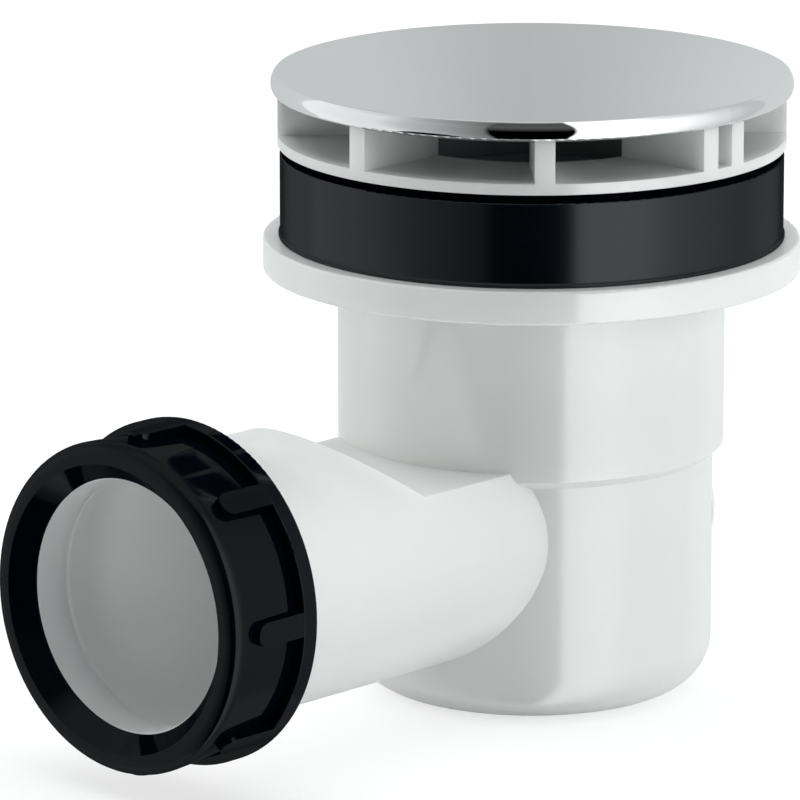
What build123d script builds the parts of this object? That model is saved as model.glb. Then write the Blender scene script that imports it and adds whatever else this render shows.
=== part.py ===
from build123d import *
import math
import os

os.makedirs("parts", exist_ok=True)

# Shower trap for a 90 mm tray hole, with an outlet for 50 mm pipe.
# Millimetres, +Z up, the outlet runs along -Y, z = 0 is the flat base of the trap body.
# Every node keeps its place in this one frame.

# Heights, each counted from the piece below it
base_wall = 3.0
cup_rest = 1.2
body_height = 90.75
flange_thick = 7.0
band_height = 17.85
top_seal_thick = 1.7
plate_thick = 2.35
window_height = 8.95
rim_height = 4.15
dome_rise = 2.05

# Radii about the main axis
flange_r = 56.85
upper_r = 41.05
step_in = 2.25
body_wall = 2.7
base_round = 11.0
plate_r = 53.72
inlet_r = 31.4
cap_r = 55.12
cap_wall = 1.6
rim_lean = 0.82
foot_lean = 0.62
foot_round = 1.1
band_r = 53.26
band_lip = 0.3
lip_height = 0.7
top_seal_r = 52.96

# Step between the two widths of the body
step_z = 51.7
step_height = 1.9

# Channel moulded out of the underside of the flange
channel_edge = 3.0
channel_depth = 3.8
flange_ribs = 12
rib_thick = 2.0

# Screwed hub between grate and body
thread_gap = 0.3
hub_r = 38.9
hub_wall = 2.6
hub_length = 21.8
collar_wall = 3.2
collar_height = 14.0
seal_room = 1.0
shelf_drop = 10.8
shelf_thick = 2.5
spigot_r = 25.0
spigot_wall = 2.2
spigot_length = 8.0

# Webs of the grate, the one over the lift slot is double
web_count = 8
web_width = 4.15
web_rise = 1.3
cap_gap = 0.4
slot_half = 2.15
slot_wall = 4.1
slot_depth = 11.12

# Locating pins of the cap
pin_count = 4
pin_ring = 44.0
pin_r = 1.0
pin_gap = 0.2
pin_drop = 3.2

# Insert that makes the water seal
water_seal = 52.0
tube_r = 20.0
tube_wall = 1.8
tube_gap = 6.0
insert_gap = 0.8
insert_flange = 2.0
insert_wall = 1.6
mouth_wall = 2.4
ring_section = 1.2
ring_gap = 0.1
groove_width = 3.0
groove_drop = 6.4
cup_r = 28.0
cup_wall = 1.8
loose = 0.3
clip_wall = 1.4
clip_height = 5.0
spoke_width = 2.2

# Hair strainer
strainer_lip = 1.8
strainer_thick = 1.5
dish_depth = 5.0
dish_slope = 4.4
knob_r = 3.2
knob_height = 9.0

# Outlet, its lengths run out from the main axis
outlet_z = 40.0
pipe_r = 28.7
pipe_wall = 2.1
flat_height = 15.4
flat_end = 59.0
ramp_run = 18.2
outlet_reach = 116.0
socket_length = 11.4
socket_rise = 2.1
mouth_edge = 1.9
mouth_depth = 4.5

# Cone seal and union nut
seal_reach = 3.0
seal_inset = 0.5
seal_front = 4.95
seal_lift = 0.8
nut_length = 22.7
nut_nose = 4.65
nose_round = 3.0
nut_wall = 2.4
nut_taper = 1.05
nut_flange = 3.9
rib_rise = 2.3
rib_width = 5.05
rib_stop = 6.0
rib_count = 8
hole_gap = 0.3
cone_rise = 3.65
cone_land = 0.45

# Moulding gate pad on the side of the body
pad_r = 4.7
pad_rise = 0.55
pad_z = 38.3
pad_turn = 42.0

# Soft edges
edge = 0.5
fine_edge = 0.3

# Levels and radii that follow from the sizes above
flange_low = body_height
flange_top = flange_low + flange_thick
band_top = flange_top + band_height
plate_low = band_top + top_seal_thick
plate_top = plate_low + plate_thick
rim_low = plate_top + window_height
corner_z = rim_low + rim_height
dome_top = corner_z + dome_rise
lower_r = upper_r - step_in
step_top = step_z + step_height
collar_r = hub_r + thread_gap + collar_wall
collar_top = flange_top + collar_height
hub_low = plate_low - hub_length
shelf_top = plate_low - shelf_drop
shelf_low = shelf_top - shelf_thick
spigot_low = shelf_low - spigot_length
cup_seat = base_wall + cup_rest
tube_low = cup_seat + cup_wall + tube_gap
cup_rim = tube_low + water_seal
bore_r = pipe_r - pipe_wall
socket_r = pipe_r + socket_rise
socket_start = outlet_reach - socket_length
mouth_r = socket_r - mouth_edge
nut_seat = outlet_reach + seal_front
nut_front = nut_seat + nut_nose
nut_rear = nut_front - nut_length


def turned(points, rounds=None):
    """Turn a closed profile of (radius, height) points about Z; rounds maps a point's number to a radius."""
    face = make_face(Polyline(*points, close=True).edges())
    for number, radius in (rounds or {}).items():
        corner = face.vertices().sort_by_distance((points[number][0], points[number][1], 0))[0]
        face = fillet(corner, radius)
    return revolve(Plane.XZ * face, Axis.Z)


def tube(outer, inner, low, high):
    """A plain sleeve about Z."""
    return turned([(inner, low), (outer, low), (outer, high), (inner, high)])


def rod(radius, low, high):
    """A plain round bar about Z."""
    return Pos(0, 0, low) * Cylinder(radius, high - low, align=(Align.CENTER, Align.CENTER, Align.MIN))


def bar(x0, x1, half_width, z0, z1):
    """A radial bar along X, used for webs, ribs, spokes and cutters."""
    return Pos(x0, 0, z0) * Box(x1 - x0, 2 * half_width, z1 - z0, align=(Align.MIN, Align.CENTER, Align.MIN))


def around(count, shape, start=0.0):
    """Copies of a shape at even steps about Z."""
    return [Rot(0, 0, start + 360.0 * i / count) * shape for i in range(count)]


def to_outlet(shape):
    """Carry a shape made about Z onto the outlet axis: its +Z becomes -Y at the outlet's height."""
    return Pos(0, 0, outlet_z) * Rot(90, 0, 0) * shape


def notch(flat, start, run, top):
    """Cutter for the flat and the ramp over the outlet: all that lies above them, out to the crown."""
    with BuildSketch(Plane.YZ) as side:
        with BuildLine():
            Polyline((pipe_r, flat), (-start, flat), (-start - run, top), (-start - run, top + pipe_r),
                     (pipe_r, top + pipe_r), close=True)
        make_face()
    return extrude(side.sketch, amount=2 * pipe_r, both=True)


# Trap body: flange, stepped cup, collar and outlet in one moulding
shell = turned(
    [(0, 0), (lower_r, 0), (lower_r, step_z), (upper_r, step_top), (upper_r, flange_low),
     (flange_r, flange_low), (flange_r, flange_top), (collar_r, flange_top),
     (collar_r, collar_top), (0, collar_top)],
    {1: base_round, 5: edge, 6: edge, 8: 2 * fine_edge})
flat_z = outlet_z + flat_height
pipe = to_outlet(rod(pipe_r, 0, socket_start + 1.0)) - notch(flat_z, flat_end, ramp_run, outlet_z + pipe_r)
socket = to_outlet(turned(
    [(0, socket_start), (socket_r, socket_start), (socket_r, outlet_reach), (0, outlet_reach)],
    {1: edge, 2: edge}))
thread_low = flange_low + flange_thick / 3
cavity = turned(
    [(0, base_wall), (lower_r - body_wall, base_wall), (lower_r - body_wall, step_z),
     (upper_r - body_wall, step_top), (upper_r - body_wall, thread_low - 1.0),
     (hub_r + thread_gap, thread_low), (hub_r + thread_gap, collar_top), (0, collar_top)],
    {1: base_round - body_wall})
# the same flat and ramp one wall thickness inside
slope = (pipe_r - flat_height) / ramp_run
inner_start = flat_end + body_wall * math.tan(math.atan(slope) / 2)
inner_run = (bore_r - flat_height + body_wall) / slope
waterway = to_outlet(rod(bore_r, 0, outlet_reach)) - notch(
    flat_z - body_wall, inner_start, inner_run, outlet_z + bore_r)
mouth = to_outlet(turned(
    [(0, outlet_reach - mouth_depth), (bore_r, outlet_reach - mouth_depth),
     (mouth_r, outlet_reach), (0, outlet_reach)]))
body = shell + pipe + socket - cavity - waterway - mouth
channel = tube(flange_r - channel_edge, upper_r + channel_edge, flange_low, flange_low + channel_depth)
stiffeners = around(flange_ribs, bar(upper_r, flange_r, rib_thick / 2, flange_low, flange_low + channel_depth), 15)
body -= channel - stiffeners
# low ribs that carry the cup
body += around(4, bar(cup_r / 2, cup_r - cup_wall, rib_thick / 2, base_wall / 2, cup_seat), 45)
# moulding gate: a round, lens-shaped pad
ball = (pad_r ** 2 + pad_rise ** 2) / (2 * pad_rise)
pad = Pos(lower_r + pad_rise - ball, 0, pad_z) * Sphere(ball)
pad &= Pos(0, 0, pad_z) * Rot(0, 90, 0) * rod(pad_r, lower_r - body_wall / 2, lower_r + 2 * pad_rise)
body += Rot(0, 0, pad_turn) * pad

# Grate: plate with the inlet hole, threaded hub, shelf for the insert, eight webs
grate = turned(
    [(inlet_r, plate_low), (plate_r, plate_low), (plate_r, plate_top), (inlet_r, plate_top)],
    {0: fine_edge, 1: fine_edge})
hub_in = hub_r - hub_wall
spigot_out = spigot_r + spigot_wall
under = plate_low + plate_thick / 4
grate += turned(
    [(spigot_r, spigot_low), (spigot_out, spigot_low), (spigot_out, shelf_low), (hub_in, shelf_low),
     (hub_in, hub_low), (hub_r, hub_low), (hub_r, under), (hub_in, under), (hub_in, shelf_top),
     (spigot_r, shelf_top)],
    {9: edge, 5: edge})
foot = plate_top - plate_thick / 4
crown = rim_low + web_rise
web = bar(inlet_r / 2, cap_r, web_width / 2, foot, crown)
step = 360.0 / web_count
webs = [Rot(0, 0, step * i) * web for i in range(1, web_count)]
slot_side = Pos(0, slot_half + slot_wall / 2, 0) * bar(inlet_r / 2, cap_r, slot_wall / 2, foot, crown)
slot_back = bar(inlet_r + cap_gap, plate_r - slot_depth, slot_half + slot_wall / 2, foot, crown)
webs += [slot_side, mirror(slot_side, Plane.XZ), slot_back]
keep = tube(plate_r, inlet_r, foot, rim_low) + tube(cap_r - cap_wall - cap_gap, inlet_r, rim_low - edge, crown)
for piece in webs:
    grate += piece & keep
pin_low = rim_low - pin_drop
grate -= around(pin_count, Pos(pin_ring, 0, 0) * rod(pin_r + pin_gap, pin_low - 2 * pin_gap, crown + edge), step)

# Cap: shallow dome with a sharp corner, crowned rim turned down to a round foot, and locating pins
corner_r = cap_r - rim_lean
ball = (corner_r ** 2 + dome_rise ** 2) / (2 * dome_rise)


def dome_line(radius, drop=0.0):
    """Height of the dome at a radius, lowered by a wall thickness."""
    return dome_top - ball + math.sqrt(ball ** 2 - radius ** 2) - drop


inner_r = cap_r - cap_wall
foot_r = cap_r - foot_lean
with BuildSketch(Plane.XZ) as half:
    with BuildLine():
        ThreePointArc((0, dome_top), (corner_r / 2, dome_line(corner_r / 2)), (corner_r, corner_z))
        ThreePointArc((corner_r, corner_z), (cap_r, rim_low + 0.53 * rim_height), (foot_r, rim_low))
        Polyline((foot_r, rim_low), (inner_r, rim_low), (inner_r, dome_line(inner_r, cap_wall)))
        ThreePointArc((inner_r, dome_line(inner_r, cap_wall)), (inner_r / 2, dome_line(inner_r / 2, cap_wall)),
                      (0, dome_top - cap_wall))
        Line((0, dome_top - cap_wall), (0, dome_top))
    make_face()
    fillet(half.vertices().sort_by_distance((corner_r, corner_z, 0))[0], 0.8 * fine_edge)
    fillet(half.vertices().sort_by_distance((foot_r, rim_low, 0))[0], foot_round)
cap = revolve(half.sketch, Axis.Z)
pin = Pos(pin_ring, 0, 0) * rod(pin_r, pin_low, dome_line(pin_ring, cap_wall / 2))
cap += around(pin_count, pin, step)

# Seals that clamp the tray: a thin flat ring on top and a tall profiled ring below
seal_in = collar_r + seal_room
top_seal = turned(
    [(seal_in, band_top), (top_seal_r, band_top), (top_seal_r, plate_low), (seal_in, plate_low)],
    {1: fine_edge, 2: fine_edge})
groove = band_height / 8
inner_line = [(seal_in, flange_top)]
for i in range(4):
    z = band_top - groove * (2 * i + 0.6)
    inner_line[1:1] = [(seal_in, z - groove), (seal_in + groove, z - 0.75 * groove),
                       (seal_in + groove, z - 0.25 * groove), (seal_in, z)]
tray_seal = turned(
    [(band_r, band_top), (seal_in, band_top)] + inner_line[:0:-1] + [inner_line[0]] +
    [(band_r + band_lip, flange_top), (band_r + band_lip, flange_top + lip_height),
     (band_r, flange_top + lip_height + band_lip)],
    {0: fine_edge, -3: fine_edge})

# Dip tube: rim and flange on the shelf, plug with a groove for the ring seal, long straight tube
plug_r = spigot_r - insert_gap
plug_low = spigot_low + edge
seat_top = shelf_top + insert_flange
mouth_hole = plug_r - mouth_wall
insert_r = inlet_r - insert_gap
ring_r = spigot_r - ring_gap - ring_section
ring_z = shelf_top - groove_drop
groove_r = ring_r - ring_section - ring_gap
dip_tube = turned(
    [(tube_r - tube_wall, tube_low), (tube_r - tube_wall / 3, tube_low), (tube_r, tube_low + tube_wall),
     (tube_r, plug_low - tube_wall), (plug_r, plug_low), (plug_r, ring_z - groove_width / 2),
     (groove_r, ring_z - groove_width / 2), (groove_r, ring_z + groove_width / 2),
     (plug_r, ring_z + groove_width / 2), (plug_r, shelf_top), (insert_r, shelf_top), (insert_r, plate_low),
     (insert_r - insert_wall, plate_low), (insert_r - insert_wall, seat_top), (mouth_hole, seat_top),
     (plug_r - 2 * tube_wall, plug_low), (tube_r - tube_wall, plug_low - tube_wall)],
    {10: fine_edge, 11: fine_edge, 12: fine_edge})
# two holes in the rim for lifting the insert out
lift = bar(insert_r - 2 * insert_wall, insert_r + edge, 2 * spoke_width, seat_top + insert_wall,
           seat_top + insert_wall + 2 * insert_flange)
dip_tube -= around(2, lift, step / 2)
ring_seal = Pos(0, 0, ring_z) * Torus(ring_r, ring_section)

# Hair strainer: a dished plate with slots, dropped into the mouth of the dip tube
dish_top = mouth_hole - insert_gap
dish_r = dish_top - dish_slope
dish_low = seat_top - dish_depth
lip_r = mouth_hole + strainer_lip
strainer = turned(
    [(0, dish_low), (dish_r, dish_low), (dish_top, seat_top), (lip_r, seat_top),
     (lip_r, seat_top + strainer_thick), (dish_top - fine_edge, seat_top + strainer_thick),
     (dish_r - fine_edge, dish_low + strainer_thick), (0, dish_low + strainer_thick)],
    {3: fine_edge, 4: fine_edge})
slot_length = 0.45 * dish_r
slot = extrude(SlotOverall(slot_length, 0.37 * slot_length), amount=2 * strainer_thick)
strainer -= around(8, Pos(0.7 * dish_r, 0, dish_low - edge) * slot, step / 2)
strainer -= around(6, Pos(0.37 * dish_r, 0, 0) * rod(0.08 * dish_r, dish_low - edge, seat_top))
strainer += turned(
    [(0, dish_low + edge), (knob_r, dish_low + edge), (0.8 * knob_r, dish_low + knob_height),
     (0, dish_low + knob_height)],
    {2: 2 * edge})

# Trap cup: closed at the bottom, three spokes hold a ring round the dip tube
cup_in = cup_r - cup_wall
cup = turned(
    [(0, cup_seat), (cup_r, cup_seat), (cup_r, cup_rim), (cup_in, cup_rim), (cup_in, cup_seat + cup_wall),
     (0, cup_seat + cup_wall)],
    {1: 2 * cup_wall, 2: edge, 3: edge, 4: cup_wall})
clip_r = tube_r + loose
cup += tube(clip_r + clip_wall, clip_r, cup_rim - clip_height, cup_rim)
spoke = bar(clip_r + clip_wall / 2, cup_r - cup_wall / 2, spoke_width / 2, cup_rim - 0.8 * clip_height, cup_rim - edge)
cup += around(3, spoke, 30)

# Cone seal of the outlet joint, its cone lies on the mouth of the socket
cone = (mouth_r - bore_r) / mouth_depth
seal_bore = bore_r - seal_inset
outlet_seal = to_outlet(turned(
    [(seal_bore, outlet_reach - seal_reach), (mouth_r - cone * seal_reach, outlet_reach - seal_reach),
     (mouth_r, outlet_reach), (mouth_r, outlet_reach + seal_lift), (socket_r - fine_edge, outlet_reach + seal_lift),
     (socket_r - fine_edge, nut_seat), (seal_bore, nut_seat)],
    {4: fine_edge, 6: fine_edge}))

# Union nut: rear flange, tapered barrel, grip ribs with round ends, rounded nose, cone inlet
thread_r = socket_r + thread_gap
barrel_r = thread_r + nut_wall
nose_r = barrel_r + nut_taper
nut_flange_r = barrel_r + rib_rise
flange_face = nut_rear + nut_flange
hole_r = seal_bore + hole_gap
nut = turned(
    [(thread_r, nut_rear), (nut_flange_r, nut_rear), (nut_flange_r, flange_face), (barrel_r, flange_face),
     (nose_r, nut_front), (hole_r + cone_rise, nut_front), (hole_r, nut_seat + cone_land), (hole_r, nut_seat),
     (thread_r, nut_seat)],
    {0: edge, 1: edge, 2: fine_edge, 4: nose_round, 5: fine_edge})
rib_end = nut_front - rib_stop - rib_width / 2
run = rib_end - flange_face + nut_flange / 4
rib_shape = Pos(0, -run / 2) * Rectangle(rib_width, run) + Circle(rib_width / 2)
rib_low = barrel_r - nut_wall / 2
rib = extrude(Plane(origin=(rib_low, 0, rib_end), x_dir=(0, 1, 0), z_dir=(1, 0, 0)) * rib_shape, amount=2 * rib_rise)
rib &= rod(nut_flange_r - 0.2 * fine_edge, nut_rear, nut_front)
nut += around(rib_count, rib)
nut = to_outlet(nut)

nodes = {
    "trap_body": body,
    "grate_ring": grate,
    "cover_cap": cap,
    "top_seal": top_seal,
    "tray_seal": tray_seal,
    "dip_tube": dip_tube,
    "dip_tube_seal": ring_seal,
    "hair_strainer": strainer,
    "trap_cup": cup,
    "outlet_seal": outlet_seal,
    "union_nut": nut,
}
for name, shape in nodes.items():
    export_step(shape, f"parts/{name}.step")
    box = shape.bounding_box()
    size = [round(v, 1) for v in (*box.min, *box.max)]
    print(name, len(shape.solids()), "solid", size, round(shape.volume / 1000, 2), "cm3")
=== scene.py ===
# %% [markdown]
# # Shower trap
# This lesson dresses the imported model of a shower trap: a round chrome cap over a slotted white
# grate, a tall black seal, a stepped white body and an outlet with a ribbed black nut.
# The solids already have the right shapes, down to the fillets and the ribs of the nut, so nothing
# is modelled again here. The work is in the light and in the finishes.
# Every length is in metres, z = 0 is the flat base and the outlet runs along -Y.

# %% Load the model
import bpy
import math
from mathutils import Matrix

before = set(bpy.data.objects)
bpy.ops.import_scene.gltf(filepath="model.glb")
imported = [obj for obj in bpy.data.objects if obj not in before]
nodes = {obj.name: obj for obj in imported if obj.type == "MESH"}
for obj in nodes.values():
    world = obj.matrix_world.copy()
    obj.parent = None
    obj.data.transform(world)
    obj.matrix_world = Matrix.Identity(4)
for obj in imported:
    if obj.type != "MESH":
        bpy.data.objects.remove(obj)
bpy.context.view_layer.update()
scene = bpy.context.scene


# %% [markdown]
# ## The camera
# The picture was taken from far away with a long lens, so the circles look like clean ellipses.
# The angles and the distance come from those ellipses: the camera stands 42 degrees round from the
# outlet and looks down by 13.7 degrees. It aims a little to the left of the axis, because the
# outlet reaches out there. A shorter lens would make the near rim bulge.

# %% Place the camera
# Angles are in radians.
view_turn = 0.7344
aim_turn = 0.0183
look_down = 0.2384
lens_mm = 330.6
camera_place = (1.01838, -1.12796, 0.43067)

camera_data = bpy.data.cameras.new("photo_camera")
camera_data.sensor_width = 36.0
camera_data.lens = lens_mm
camera_data.clip_start = 0.1
camera_data.clip_end = 20.0
camera = bpy.data.objects.new("photo_camera", camera_data)
camera.location = camera_place
camera.rotation_euler = (math.pi / 2 - look_down, 0.0, view_turn + aim_turn)
scene.collection.objects.link(camera)
scene.camera = camera
scene.view_settings.view_transform = "Standard"
print("camera", round(camera.location.length, 3), "m from the middle of the base")

# %% [markdown]
# ## Small helpers for nodes
# Every finish below is a small node tree, and so is the studio. Nodes could be placed by hand in
# the shader editor, but two helpers keep the cells short and the trees easy to compare: one adds a
# node with its values and links, the other adds a Math node.

# %% Node helpers
def add(tree, kind, inputs=None, **settings):
    """Add a node, set its plain values by socket name or number, and link what is itself a socket."""
    node = tree.nodes.new(kind)
    for name, value in settings.items():
        setattr(node, name, value)
    for name, value in (inputs or {}).items():
        if isinstance(value, bpy.types.NodeSocket):
            tree.links.new(value, node.inputs[name])
        else:
            node.inputs[name].default_value = value
    return node


def maths(tree, operation, *values):
    """A Math node on sockets or numbers; returns its output."""
    return add(tree, "ShaderNodeMath", dict(enumerate(values)), operation=operation).outputs[0]


print("node helpers are ready")

# %% [markdown]
# ## The studio
# A glossy object shows its studio. Its bands tell that the real one stood between two long soft
# boxes, a strong one on the right and a weaker one on the left that fades towards the camera.
# Between them, at the camera, it was dark, which is the black spot on the chrome rim. Real lamps
# would need stands, flags and many tries, so the world shader draws this studio from the direction
# alone. It stays where it is when the camera moves.

# %% Directions in the studio
world = bpy.data.worlds.new("studio_world")
scene.world = world
world.use_nodes = True
tree = world.node_tree
tree.nodes.clear()
direction = add(tree, "ShaderNodeTexCoord").outputs["Generated"]
turned = add(tree, "ShaderNodeVectorRotate", {"Vector": direction, "Angle": -view_turn},
             rotation_type="Z_AXIS")
sideways, away, up = add(tree, "ShaderNodeSeparateXYZ", {"Vector": turned.outputs[0]}).outputs
turn = maths(tree, "ARCTAN2", sideways, maths(tree, "MULTIPLY", away, -1.0))
turn_share = maths(tree, "ADD", maths(tree, "DIVIDE", turn, 2 * math.pi), 0.5)
height = maths(tree, "ARCSINE", up)
print(len(tree.nodes), "nodes give the angle round from the camera and the height")

# %% [markdown]
# ### Two rings of light
# The white plastic needs even light from the sides, while the chrome and the black pieces show the
# studio as a picture. One ring can't do both well, so there are two: the lamps, which light what is
# matt, and a picture of the studio, which gloss mirrors. Each is a colour ramp over the angle,
# because its stops can be moved one at a time until the bands sit right on the object.

# %% Rings of light
ring_top = 3.0


def ring_of(stops):
    """Light from all round. A stop is an angle from the camera in degrees, right positive, and a light."""
    node = add(tree, "ShaderNodeValToRGB", {"Fac": turn_share})
    ramp = node.color_ramp
    while len(ramp.elements) < len(stops):
        ramp.elements.new(0.5)
    for element, (angle, light) in zip(ramp.elements, stops):
        share = light / ring_top
        element.position = angle / 360 + 0.5
        element.color = (share, share, share, 1.0)
    return maths(tree, "MULTIPLY", node.outputs["Color"], ring_top)


# From the left half of the backdrop over the left soft box, the dark gap at the camera and the
# strong right soft box to the right half of the backdrop.
mirrored_stops = [(-180, 0.58), (-121, 0.65),
                  (-118, 0.90), (-109, 0.89), (-95, 0.83), (-73, 0.77),
                  (-58, 0.52), (-45, 0.40), (-32, 0.28), (-21, 0.18),
                  (-18.5, 0.0), (18.5, 0.0),
                  (21, 2.02), (50, 1.93), (58, 1.56), (69, 1.13), (90, 0.77), (111, 0.56), (121, 0.55),
                  (124, 0.66), (180, 0.67)]
# From the back over the left lamp, the weak left front, the gap at the camera and the right lamp.
lamp_stops = [(-180, 0.60), (-160, 0.90),
              (-150, 2.15), (-110, 2.40), (-98, 2.15), (-85, 1.25), (-73, 0.65),
              (-58, 0.32), (-45, 0.22), (-32, 0.16), (-21, 0.12),
              (-18.5, 0.0), (18.5, 0.0),
              (21, 0.85), (36, 1.30), (50, 2.00), (58, 2.45), (69, 2.55), (90, 2.25), (111, 1.40),
              (140, 0.75), (180, 0.60)]
mirrored_ring = ring_of(mirrored_stops)
lamp_ring = ring_of(lamp_stops)
print(len(mirrored_stops), "stops in the mirrored ring and", len(lamp_stops), "in the ring of lamps")

# %% [markdown]
# ### Backdrop and gap
# Straight behind the object two backdrops meet in a narrower darker strip, which the shallow dome of
# the cap spreads over its whole width. The dark gap in front turns from black to dark grey above
# the horizon, or the dome would be a flat black disc from behind.

# %% Range and mix helpers
def spread(tree, value, start, end, low, high, smooth=False):
    """Map a value from start..end to low..high and hold it beyond both ends."""
    kind = "SMOOTHSTEP" if smooth else "LINEAR"
    numbers = {"Value": value, "From Min": start, "From Max": end, "To Min": low, "To Max": high}
    return add(tree, "ShaderNodeMapRange", numbers, interpolation_type=kind).outputs[0]


def mix(tree, share, low, high):
    """A plain number or socket between two others."""
    return add(tree, "ShaderNodeMix", {"Factor": share, "A": low, "B": high}, data_type="FLOAT").outputs[0]


print("range and mix helpers are ready")

# %% Backdrop and gap
def behind(edge, depth):
    """A soft dip in the light, deepest straight behind and gone at this sideways place."""
    return spread(tree, sideways, start=0.0, end=edge, low=depth, high=0.0, smooth=True)


def by_height(start, end, low, high, smooth=True):
    """Change from low to high between two heights above the horizon, in degrees."""
    return spread(tree, height, math.radians(start), math.radians(end), low, high, smooth=smooth)


is_left = maths(tree, "LESS_THAN", sideways, 0.0)
dip = mix(tree, is_left, behind(edge=0.078, depth=0.185), behind(edge=-0.047, depth=0.10))
dip = maths(tree, "MULTIPLY", dip, maths(tree, "GREATER_THAN", away, 0.0))
gap_fill = by_height(0, 30, low=0.0, high=0.10, smooth=False)
around = maths(tree, "MAXIMUM", maths(tree, "SUBTRACT", mirrored_ring, dip), gap_fill)
print(len(tree.nodes), "nodes so far, with the dip behind and the gap in front")

# %% [markdown]
# ### Soft box overhead
# A large soft box hangs over the object. In the mirror, the boxes round the object get a little
# weaker towards it. Flags, which are black boards beside a lamp, take most of the lamps' light away
# higher up, almost all of it at the front and less behind, so that what faces upwards is mostly lit
# by the overhead box.

# %% Soft box overhead
overhead_mirrored = 0.7
overhead_lit = 1.7
overhead = by_height(52, 66, low=0.0, high=1.0)
box_fade = by_height(24, 48, low=1.0, high=0.75)
mirrored = mix(tree, overhead, maths(tree, "MULTIPLY", around, box_fade), overhead_mirrored)
left_high_up = spread(tree, away, start=-0.2, end=0.4, low=0.04, high=0.65)
flags = by_height(24, 42, low=1.0, high=left_high_up)
lit = mix(tree, overhead, maths(tree, "MULTIPLY", lamp_ring, flags), overhead_lit)
print("overhead light", overhead_lit, "for matt surfaces and", overhead_mirrored, "in the mirror")

# %% [markdown]
# ### What each ray sees
# The background is plain white and must not light the object by itself. Light Path tells the rays
# apart: camera and clear rays see white, glossy rays see the pale backdrop with the soft boxes, and
# what is left, the diffuse light, comes from the lamps. The studio's light is a trace colder than white.

# %% Colour helper
def mix_colours(tree, share, low, high):
    """A colour between two others, which are given as red, green and blue."""
    # The Mix node keeps its colour inputs at places 6 and 7 and its colour output at place 2.
    node = add(tree, "ShaderNodeMix", {0: share, 6: (*low, 1.0), 7: (*high, 1.0)}, data_type="RGBA")
    return node.outputs[2]


print("colour helper is ready")

# %% Rays and world output
studio_colour = (0.975, 1.0, 0.998)
plain_white = (1.0, 1.0, 1.0)
path = add(tree, "ShaderNodeLightPath").outputs
studio = mix(tree, path["Is Glossy Ray"], lit, mirrored)
clear = maths(tree, "MAXIMUM", path["Is Camera Ray"], path["Is Transmission Ray"])
colour = mix_colours(tree, clear, studio_colour, plain_white)
light = mix(tree, clear, studio, 1.0)
background = add(tree, "ShaderNodeBackground", {"Color": colour, "Strength": light})
add(tree, "ShaderNodeOutputWorld", {"Surface": background.outputs[0]})
print(len(tree.nodes), "world nodes")

# %% [markdown]
# ## Shared effects
# Moulded plastic, rubber and plating differ mostly in colour and gloss, but their surfaces have the
# same small faults. Each fault is a node group, made once and placed in every finish with its own
# values. The groups read object coordinates, which are metres here, so a grain size is a real size.

# %% Start and finish a node group
def new_group(name, inputs, outputs):
    """An empty shader node group with named sockets; returns the group, its inputs and its output node."""
    group = bpy.data.node_groups.new(name, "ShaderNodeTree")
    for label, value in inputs.items():
        kind = "NodeSocketVector" if value is None else "NodeSocketFloat"
        socket = group.interface.new_socket(name=label, in_out="INPUT", socket_type=kind)
        if value is not None:
            socket.default_value = value
    for label in outputs:
        group.interface.new_socket(name=label, in_out="OUTPUT", socket_type="NodeSocketFloat")
    return group, group.nodes.new("NodeGroupInput").outputs, group.nodes.new("NodeGroupOutput")


def finish_group(group, result, **outputs):
    """Link the results to the group's output node."""
    for label, socket in outputs.items():
        group.links.new(socket, result.inputs[label])
    print(group.name, len(group.nodes), "nodes")


print("group helpers are ready")

# %% [markdown]
# ### Moulded skin
# A steel mould is spark eroded or polished, and its fine texture is printed on the part. The flow
# of the plastic adds slow, cloudy changes in tone. Two noises of very different size give both.

# %% Noise helpers
def noise(tree, place, per_metre, detail):
    """A noise of about 0.3 to 0.7 with this many bumps to the metre."""
    return add(tree, "ShaderNodeTexNoise", {"Vector": place, "Scale": per_metre, "Detail": detail}).outputs[0]


def full_range(tree, value):
    """Stretch a noise to the whole range from 0 to 1."""
    return spread(tree, value, start=0.3, end=0.7, low=0.0, high=1.0)


print("noise helpers are ready")

# %% Moulded skin group
skin, given, result = new_group("moulded_skin",
                                {"Place": None, "Grain per metre": 2500.0, "Clouds per metre": 45.0},
                                ["Height", "Grain", "Clouds"])
fine = noise(skin, given["Place"], given["Grain per metre"], detail=1.0)
slow = noise(skin, given["Place"], given["Clouds per metre"], detail=2.0)
finish_group(skin, result, Height=fine, Grain=full_range(skin, fine), Clouds=full_range(skin, slow))

# %% [markdown]
# ### Handling marks
# Even a new part has been packed and touched. Hairlines are a noise that is stretched very long in
# two directions and shows only at its peaks. Smudges are a broad noise that is cut off low.

# %% Handling marks group
marks, given, result = new_group("handling_marks", {"Place": None, "Lines per metre": 900.0},
                                 ["Hairlines", "Smudges"])
line_stretch = (0.02, 1.0, 1.0)
smudges_per_metre = 28.0


def hairlines(angles):
    """Thin bright lines along one direction, given by three angles in radians."""
    long_way = add(marks, "ShaderNodeMapping",
                   {"Vector": given["Place"], "Rotation": angles, "Scale": line_stretch})
    lines = noise(marks, long_way.outputs[0], given["Lines per metre"], detail=0.0)
    return spread(marks, lines, start=0.68, end=0.76, low=0.0, high=1.0)


both = maths(marks, "MAXIMUM", hairlines((0.4, 0.2, 0.7)), hairlines((-0.3, 0.5, -1.1)))
broad = noise(marks, given["Place"], smudges_per_metre, detail=2.0)
smudges = spread(marks, broad, start=0.45, end=0.75, low=0.0, high=1.0)
finish_group(marks, result, Hairlines=both, Smudges=smudges)

# %% [markdown]
# ### Turned lines
# The moulds of the round pieces are turned on a lathe, so the seals and the nut carry very fine
# rings round their axis. Stretching a noise along the rings would need polar coordinates, so the
# group takes the distance along the axis alone and wobbles it a little.

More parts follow.
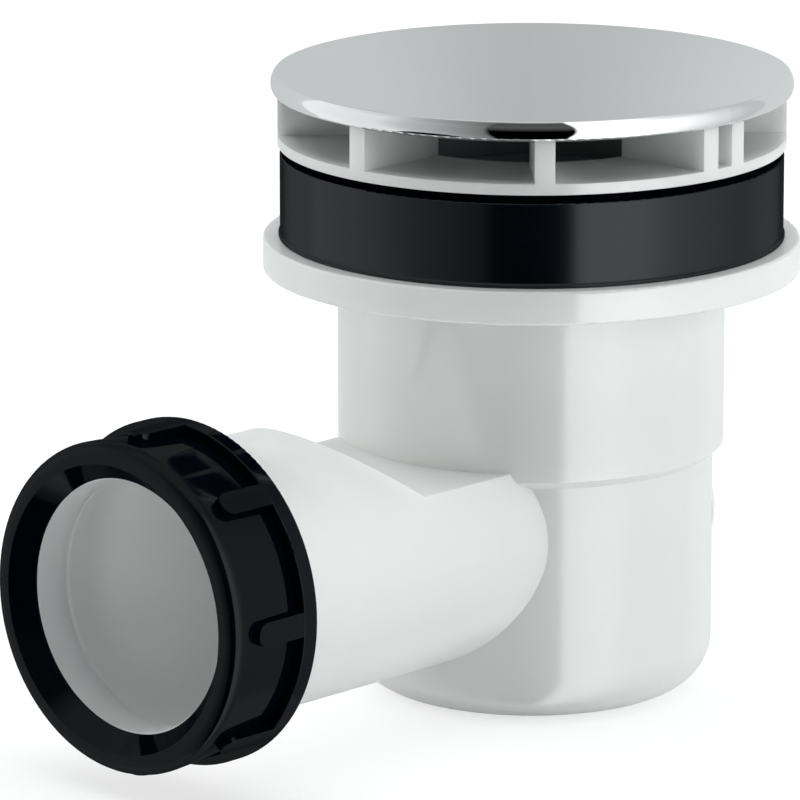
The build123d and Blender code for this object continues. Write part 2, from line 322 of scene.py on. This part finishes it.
# %% Turned lines group
turning, given, result = new_group("turned_lines",
                                   {"Place": None, "Along": 0.0, "Lines per metre": 1400.0}, ["Height"])
wobbles_per_metre = 30.0
wobble_reach = 0.0006
wobble = noise(turning, given["Place"], wobbles_per_metre, detail=0.0)
along = maths(turning, "ADD", given["Along"], maths(turning, "MULTIPLY", wobble, wobble_reach))
cut = add(turning, "ShaderNodeTexNoise", {"W": along, "Scale": given["Lines per metre"], "Detail": 1.0},
          noise_dimensions="1D")
finish_group(turning, result, Height=cut.outputs[0])

# %% [markdown]
# ## The finishes
# Each finish is one Principled BSDF. Numbers that are the same all over are set on the shader's own
# sockets. The groups change colour, roughness and bump around those numbers.

# %% Material helpers
def principled(name, **values):
    """A material with one Principled BSDF; returns the material, its tree and the shader."""
    material = bpy.data.materials.new(name)
    material.use_nodes = True
    shader = material.node_tree.nodes["Principled BSDF"]
    for key, value in values.items():
        shader.inputs[key.replace("_", " ")].default_value = value
    return material, material.node_tree, shader


def place(tree):
    """The point on the object in metres."""
    return add(tree, "ShaderNodeTexCoord").outputs["Object"]


def use(tree, group, **values):
    """Place a group; a name's underlines stand for spaces."""
    node = add(tree, "ShaderNodeGroup", node_tree=group)
    for key, value in values.items():
        socket = node.inputs[key.replace("_", " ")]
        if isinstance(value, bpy.types.NodeSocket):
            tree.links.new(value, socket)
        else:
            socket.default_value = value
    return node.outputs


def paint(tree, shader, share, low, high):
    """Base colour between two tones."""
    tree.links.new(mix_colours(tree, share, low, high), shader.inputs["Base Color"])


def roughen(tree, shader, share, low, high):
    """Roughness between two values."""
    roughness = spread(tree, share, start=0.0, end=1.0, low=low, high=high)
    tree.links.new(roughness, shader.inputs["Roughness"])


def emboss(tree, shader, surface, depth):
    """Bump by a height of 0 to 1 that stands for this depth in metres."""
    bump = add(tree, "ShaderNodeBump", {"Height": surface, "Distance": depth})
    tree.links.new(bump.outputs[0], shader.inputs["Normal"])


def by_weight(tree, first, weight, second):
    """Two values added up, with shares of weight and 1 - weight."""
    first_part = maths(tree, "MULTIPLY", first, weight)
    return maths(tree, "ADD", first_part, maths(tree, "MULTIPLY", second, 1.0 - weight))


print("material helpers are ready")

# %% [markdown]
# ### Gloss that fades
# Most shiny things mirror more at a flat angle. Moulded plastic and rubber don't in this picture:
# fine roughness eats the mirror image there. A clear coat whose weight falls with the angle gives
# that, and the outlines keep their own colour instead of a grey or bright line.

# %% Fading coat
gloss_on_smudges = 0.93


def fade_gloss(tree, shader, smudges, near, far, full, least):
    """A coat that fades from full to least between two angles (0 faces the eye, 1 is edge on)."""
    facing = add(tree, "ShaderNodeLayerWeight", {"Blend": 0.5}).outputs["Facing"]
    gloss = spread(tree, facing, start=near, end=far, low=full, high=least)
    kept = spread(tree, smudges, start=0.0, end=1.0, low=1.0, high=gloss_on_smudges)
    tree.links.new(maths(tree, "MULTIPLY", gloss, kept), shader.inputs["Coat Weight"])


print("smudges keep", gloss_on_smudges, "of the gloss")

# %% [markdown]
# ### White plastic
# The body and the grate are white polypropylene. It is slightly clear: light that enters at the
# thin mouth comes out inside the pipe. A plain white would look like chalk, so subsurface
# scattering lets some light through. The coat mirrors the soft boxes as broad, soft bands.

# %% White plastic
soaking_light = {"Subsurface_Weight": 0.6, "Subsurface_Radius": (1, 1, 1), "Subsurface_Scale": 0.005}
white, tree, shader = principled("white_plastic", IOR=1.5, Specular_IOR_Level=0.25,
                                 Coat_IOR=1.95, Coat_Roughness=0.16, **soaking_light)
spot = place(tree)
moulded = use(tree, skin, Place=spot, Grain_per_metre=2600.0, Clouds_per_metre=40.0)
handled = use(tree, marks, Place=spot, Lines_per_metre=700.0)
paint(tree, shader, moulded["Clouds"], low=(0.900, 0.913, 0.897), high=(0.920, 0.930, 0.916))
dull = by_weight(tree, moulded["Grain"], 0.5, handled["Smudges"])
roughen(tree, shader, dull, low=0.36, high=0.46)
fade_gloss(tree, shader, handled["Smudges"], near=0.50, far=0.95, full=1.0, least=0.12)
emboss(tree, shader, moulded["Height"], depth=0.000006)
print("white plastic", len(tree.nodes), "nodes")

# %% [markdown]
# ### Black gloss plastic
# The union nut comes from a polished mould. It is nearly black, and what one sees of it is the
# studio, mirrored weakly, so the gloss matters more than the colour. Its coat is smooth, and fine
# turned lines run round the outlet's axis.

# %% Black gloss plastic
def one_axis(tree, vector, letter):
    """One coordinate of a vector: X, Y or Z."""
    return add(tree, "ShaderNodeSeparateXYZ", {0: vector}).outputs[letter]


black, tree, shader = principled("black_gloss_plastic", IOR=1.5, Specular_IOR_Level=0.0,
                                 Coat_IOR=1.3, Coat_Roughness=0.06)
spot = place(tree)
moulded = use(tree, skin, Place=spot, Grain_per_metre=3200.0, Clouds_per_metre=60.0)
handled = use(tree, marks, Place=spot, Lines_per_metre=1100.0)
rings = use(tree, turning, Place=spot, Along=one_axis(tree, spot, "Y"), Lines_per_metre=1500.0)
paint(tree, shader, handled["Hairlines"], low=(0.0004, 0.0014, 0.0032), high=(0.0012, 0.0026, 0.0048))
roughen(tree, shader, maths(tree, "MAXIMUM", moulded["Grain"], handled["Smudges"]), low=0.30, high=0.40)
fade_gloss(tree, shader, handled["Smudges"], near=0.15, far=0.76, full=0.85, least=0.05)
emboss(tree, shader, by_weight(tree, rings["Height"], 0.6, moulded["Height"]), depth=0.000002)
print("black gloss plastic", len(tree.nodes), "nodes")

# %% [markdown]
# ### Rubber of the tall seal
# Satin rubber mirrors the soft boxes where one looks straight at it, as soft bands on the tall
# seal. Its coat is rougher than the nut's, and its turned lines run round the upright axis.

# %% Tall seal rubber
rubber, tree, shader = principled("black_rubber", IOR=1.45, Specular_IOR_Level=0.0,
                                  Coat_IOR=1.5, Coat_Roughness=0.18)
spot = place(tree)
moulded = use(tree, skin, Place=spot, Grain_per_metre=1800.0, Clouds_per_metre=70.0)
handled = use(tree, marks, Place=spot, Lines_per_metre=600.0)
rings = use(tree, turning, Place=spot, Along=one_axis(tree, spot, "Z"), Lines_per_metre=1100.0)
paint(tree, shader, moulded["Clouds"], low=(0.0003, 0.0016, 0.0036), high=(0.0012, 0.0028, 0.0050))
roughen(tree, shader, handled["Smudges"], low=0.30, high=0.42)
fade_gloss(tree, shader, handled["Smudges"], near=0.31, far=0.84, full=0.78, least=0.05)
emboss(tree, shader, by_weight(tree, rings["Height"], 0.5, moulded["Height"]), depth=0.000006)
print("tall seal rubber", len(tree.nodes), "nodes")

# %% [markdown]
# ### Rubber of the thin seal
# The flat seal under the grate sits in the shade and has a dull, talcum-dusted skin. It shows only
# as a black line, so it has no coat and keeps no gloss at all.

# %% Thin seal rubber
thin_rubber, tree, shader = principled("dull_rubber", IOR=1.45, Specular_IOR_Level=0.0)
moulded = use(tree, skin, Place=place(tree), Grain_per_metre=1500.0, Clouds_per_metre=90.0)
paint(tree, shader, moulded["Clouds"], low=(0.0004, 0.0006, 0.0010), high=(0.0010, 0.0014, 0.0020))
roughen(tree, shader, moulded["Grain"], low=0.55, high=0.75)
emboss(tree, shader, moulded["Height"], depth=0.00001)
print("thin seal rubber", len(tree.nodes), "nodes")

# %% [markdown]
# ### Dark plastic of the insert
# The insert behind the windows is a grey plastic with a plain satin skin, lighter than the nut. Its grey
# is partly its own and partly painted light, so that it still reads as dark grey in the deep shade of the
# grate.

# %% Dark insert plastic
dark, tree, shader = principled("dark_plastic", IOR=1.5)
spot = place(tree)
moulded = use(tree, skin, Place=spot, Grain_per_metre=2000.0, Clouds_per_metre=50.0)
handled = use(tree, marks, Place=spot, Lines_per_metre=800.0)
# These greys are lighter than the plastic's own tone: painted light in the shade behind the windows.
paint(tree, shader, moulded["Clouds"], low=(0.29, 0.32, 0.335), high=(0.34, 0.37, 0.385))
roughen(tree, shader, maths(tree, "MAXIMUM", moulded["Grain"], handled["Hairlines"]), low=0.30, high=0.42)
emboss(tree, shader, moulded["Height"], depth=0.000008)
print("dark insert plastic", len(tree.nodes), "nodes")

# %% [markdown]
# ### Pale seal in the outlet
# The cone seal is an unfilled elastomer, greyer than the body. It glows a little with the light
# that soaks through it, so it has the same subsurface scattering as the white plastic.

# %% Pale seal
pale, tree, shader = principled("pale_seal", IOR=1.5, **soaking_light)
moulded = use(tree, skin, Place=place(tree), Grain_per_metre=1600.0, Clouds_per_metre=80.0)
paint(tree, shader, moulded["Clouds"], low=(0.82, 0.85, 0.85), high=(0.87, 0.89, 0.89))
roughen(tree, shader, moulded["Grain"], low=0.35, high=0.48)
emboss(tree, shader, moulded["Height"], depth=0.000006)
print("pale seal", len(tree.nodes), "nodes")

# %% [markdown]
# ### Chrome
# The cap is plated plastic. Plating is a mirror, but the moulding under it is never quite flat, so
# the reflections waver slightly. A mask made from the true normal paints the flat underside a dark,
# dull, non-metallic grey: painted shade under the cap.

# %% Chrome
hairline_share = 0.35
smudge_share = 0.3
wear = 0.06
chrome, tree, shader = principled("chrome")
spot = place(tree)
handled = use(tree, marks, Place=spot, Lines_per_metre=1300.0)
moulded = use(tree, skin, Place=spot, Grain_per_metre=90.0, Clouds_per_metre=22.0)
normal = add(tree, "ShaderNodeNewGeometry").outputs["Normal"]
# Faces that look down get a dark grey, non-metallic, rough finish: painted shade under the cap.
plated_except_shaded_underside = spread(tree, one_axis(tree, normal, "Z"), start=-0.97, end=-0.90, low=0.0, high=1.0)
tree.links.new(plated_except_shaded_underside, shader.inputs["Metallic"])
paint(tree, shader, plated_except_shaded_underside, low=(0.05, 0.05, 0.05), high=(0.925, 0.935, 0.94))
hairline_part = maths(tree, "MULTIPLY", handled["Hairlines"], hairline_share)
worn = maths(tree, "ADD", hairline_part, maths(tree, "MULTIPLY", handled["Smudges"], smudge_share))
# The same mask, turned round, also makes the painted shade of the underside rough.
painted_shade_underside = maths(tree, "SUBTRACT", 1.0, plated_except_shaded_underside)
dull = maths(tree, "ADD", maths(tree, "MULTIPLY", worn, wear), painted_shade_underside)
roughen(tree, shader, dull, low=0.008, high=0.45)
emboss(tree, shader, moulded["Clouds"], depth=0.000004)
print("chrome", len(tree.nodes), "nodes")

# %% [markdown]
# ## Dress the solids
# The solids keep their shape and place. Each one only swaps its plain material for its finish.

# %% Assign the finishes
finish_of = {"trap_body": white, "grate_ring": white, "trap_cup": white,
             "cover_cap": chrome, "top_seal": thin_rubber,
             "tray_seal": rubber, "dip_tube_seal": rubber,
             "dip_tube": dark, "hair_strainer": dark,
             "outlet_seal": pale, "union_nut": black}
for name, node in nodes.items():
    node.data.materials.clear()
    node.data.materials.append(finish_of[name])
print(len(finish_of), "solids dressed in", len(set(finish_of.values())), "finishes")

# %% [markdown]
# ## The floor
# The object stands on white paper. White paper in the same light as the object would render as
# light grey, and more light would burn out the body. So Light Path adds a glow that only the camera
# sees: it takes the paper nearly to white and keeps the object's soft shadow. All other rays see
# ordinary matt paper, and glossy rays skip the floor, so the gloss shows the studio alone.

# %% Floor
reach = 4.0
paper_glow = 0.66
fibre_depth = 0.00001
floor_mesh = bpy.data.meshes.new("studio_floor")
corners = [(-reach, -reach, 0), (reach, -reach, 0), (reach, reach, 0), (-reach, reach, 0)]
floor_mesh.from_pydata(corners, [], [(0, 1, 2, 3)])
floor = bpy.data.objects.new("studio_floor", floor_mesh)
scene.collection.objects.link(floor)
floor.visible_glossy = False
paper = bpy.data.materials.new("white_paper")
paper.use_nodes = True
tree = paper.node_tree
tree.nodes.clear()
fibres = use(tree, skin, Place=place(tree), Grain_per_metre=1200.0, Clouds_per_metre=8.0)
fibre_bump = add(tree, "ShaderNodeBump", {"Height": fibres["Height"], "Distance": fibre_depth})


def matt_paper(darker, lighter):
    """Matt paper between two greys, by its clouds."""
    grey = mix_colours(tree, fibres["Clouds"], (darker, darker, darker), (lighter, lighter, lighter))
    return add(tree, "ShaderNodeBsdfDiffuse", {"Color": grey, "Normal": fibre_bump.outputs[0]}).outputs[0]


glow = add(tree, "ShaderNodeEmission", {"Color": (1.0, 1.0, 1.0, 1.0), "Strength": paper_glow}).outputs[0]
shown = add(tree, "ShaderNodeAddShader", {0: matt_paper(darker=0.445, lighter=0.455), 1: glow}).outputs[0]
camera_ray = add(tree, "ShaderNodeLightPath").outputs["Is Camera Ray"]
ordinary = matt_paper(darker=0.895, lighter=0.905)
seen = add(tree, "ShaderNodeMixShader", {0: camera_ray, 1: ordinary, 2: shown})
add(tree, "ShaderNodeOutputMaterial", {"Surface": seen.outputs[0]})
floor_mesh.materials.append(paper)
print("floor", 2 * reach, "m wide")
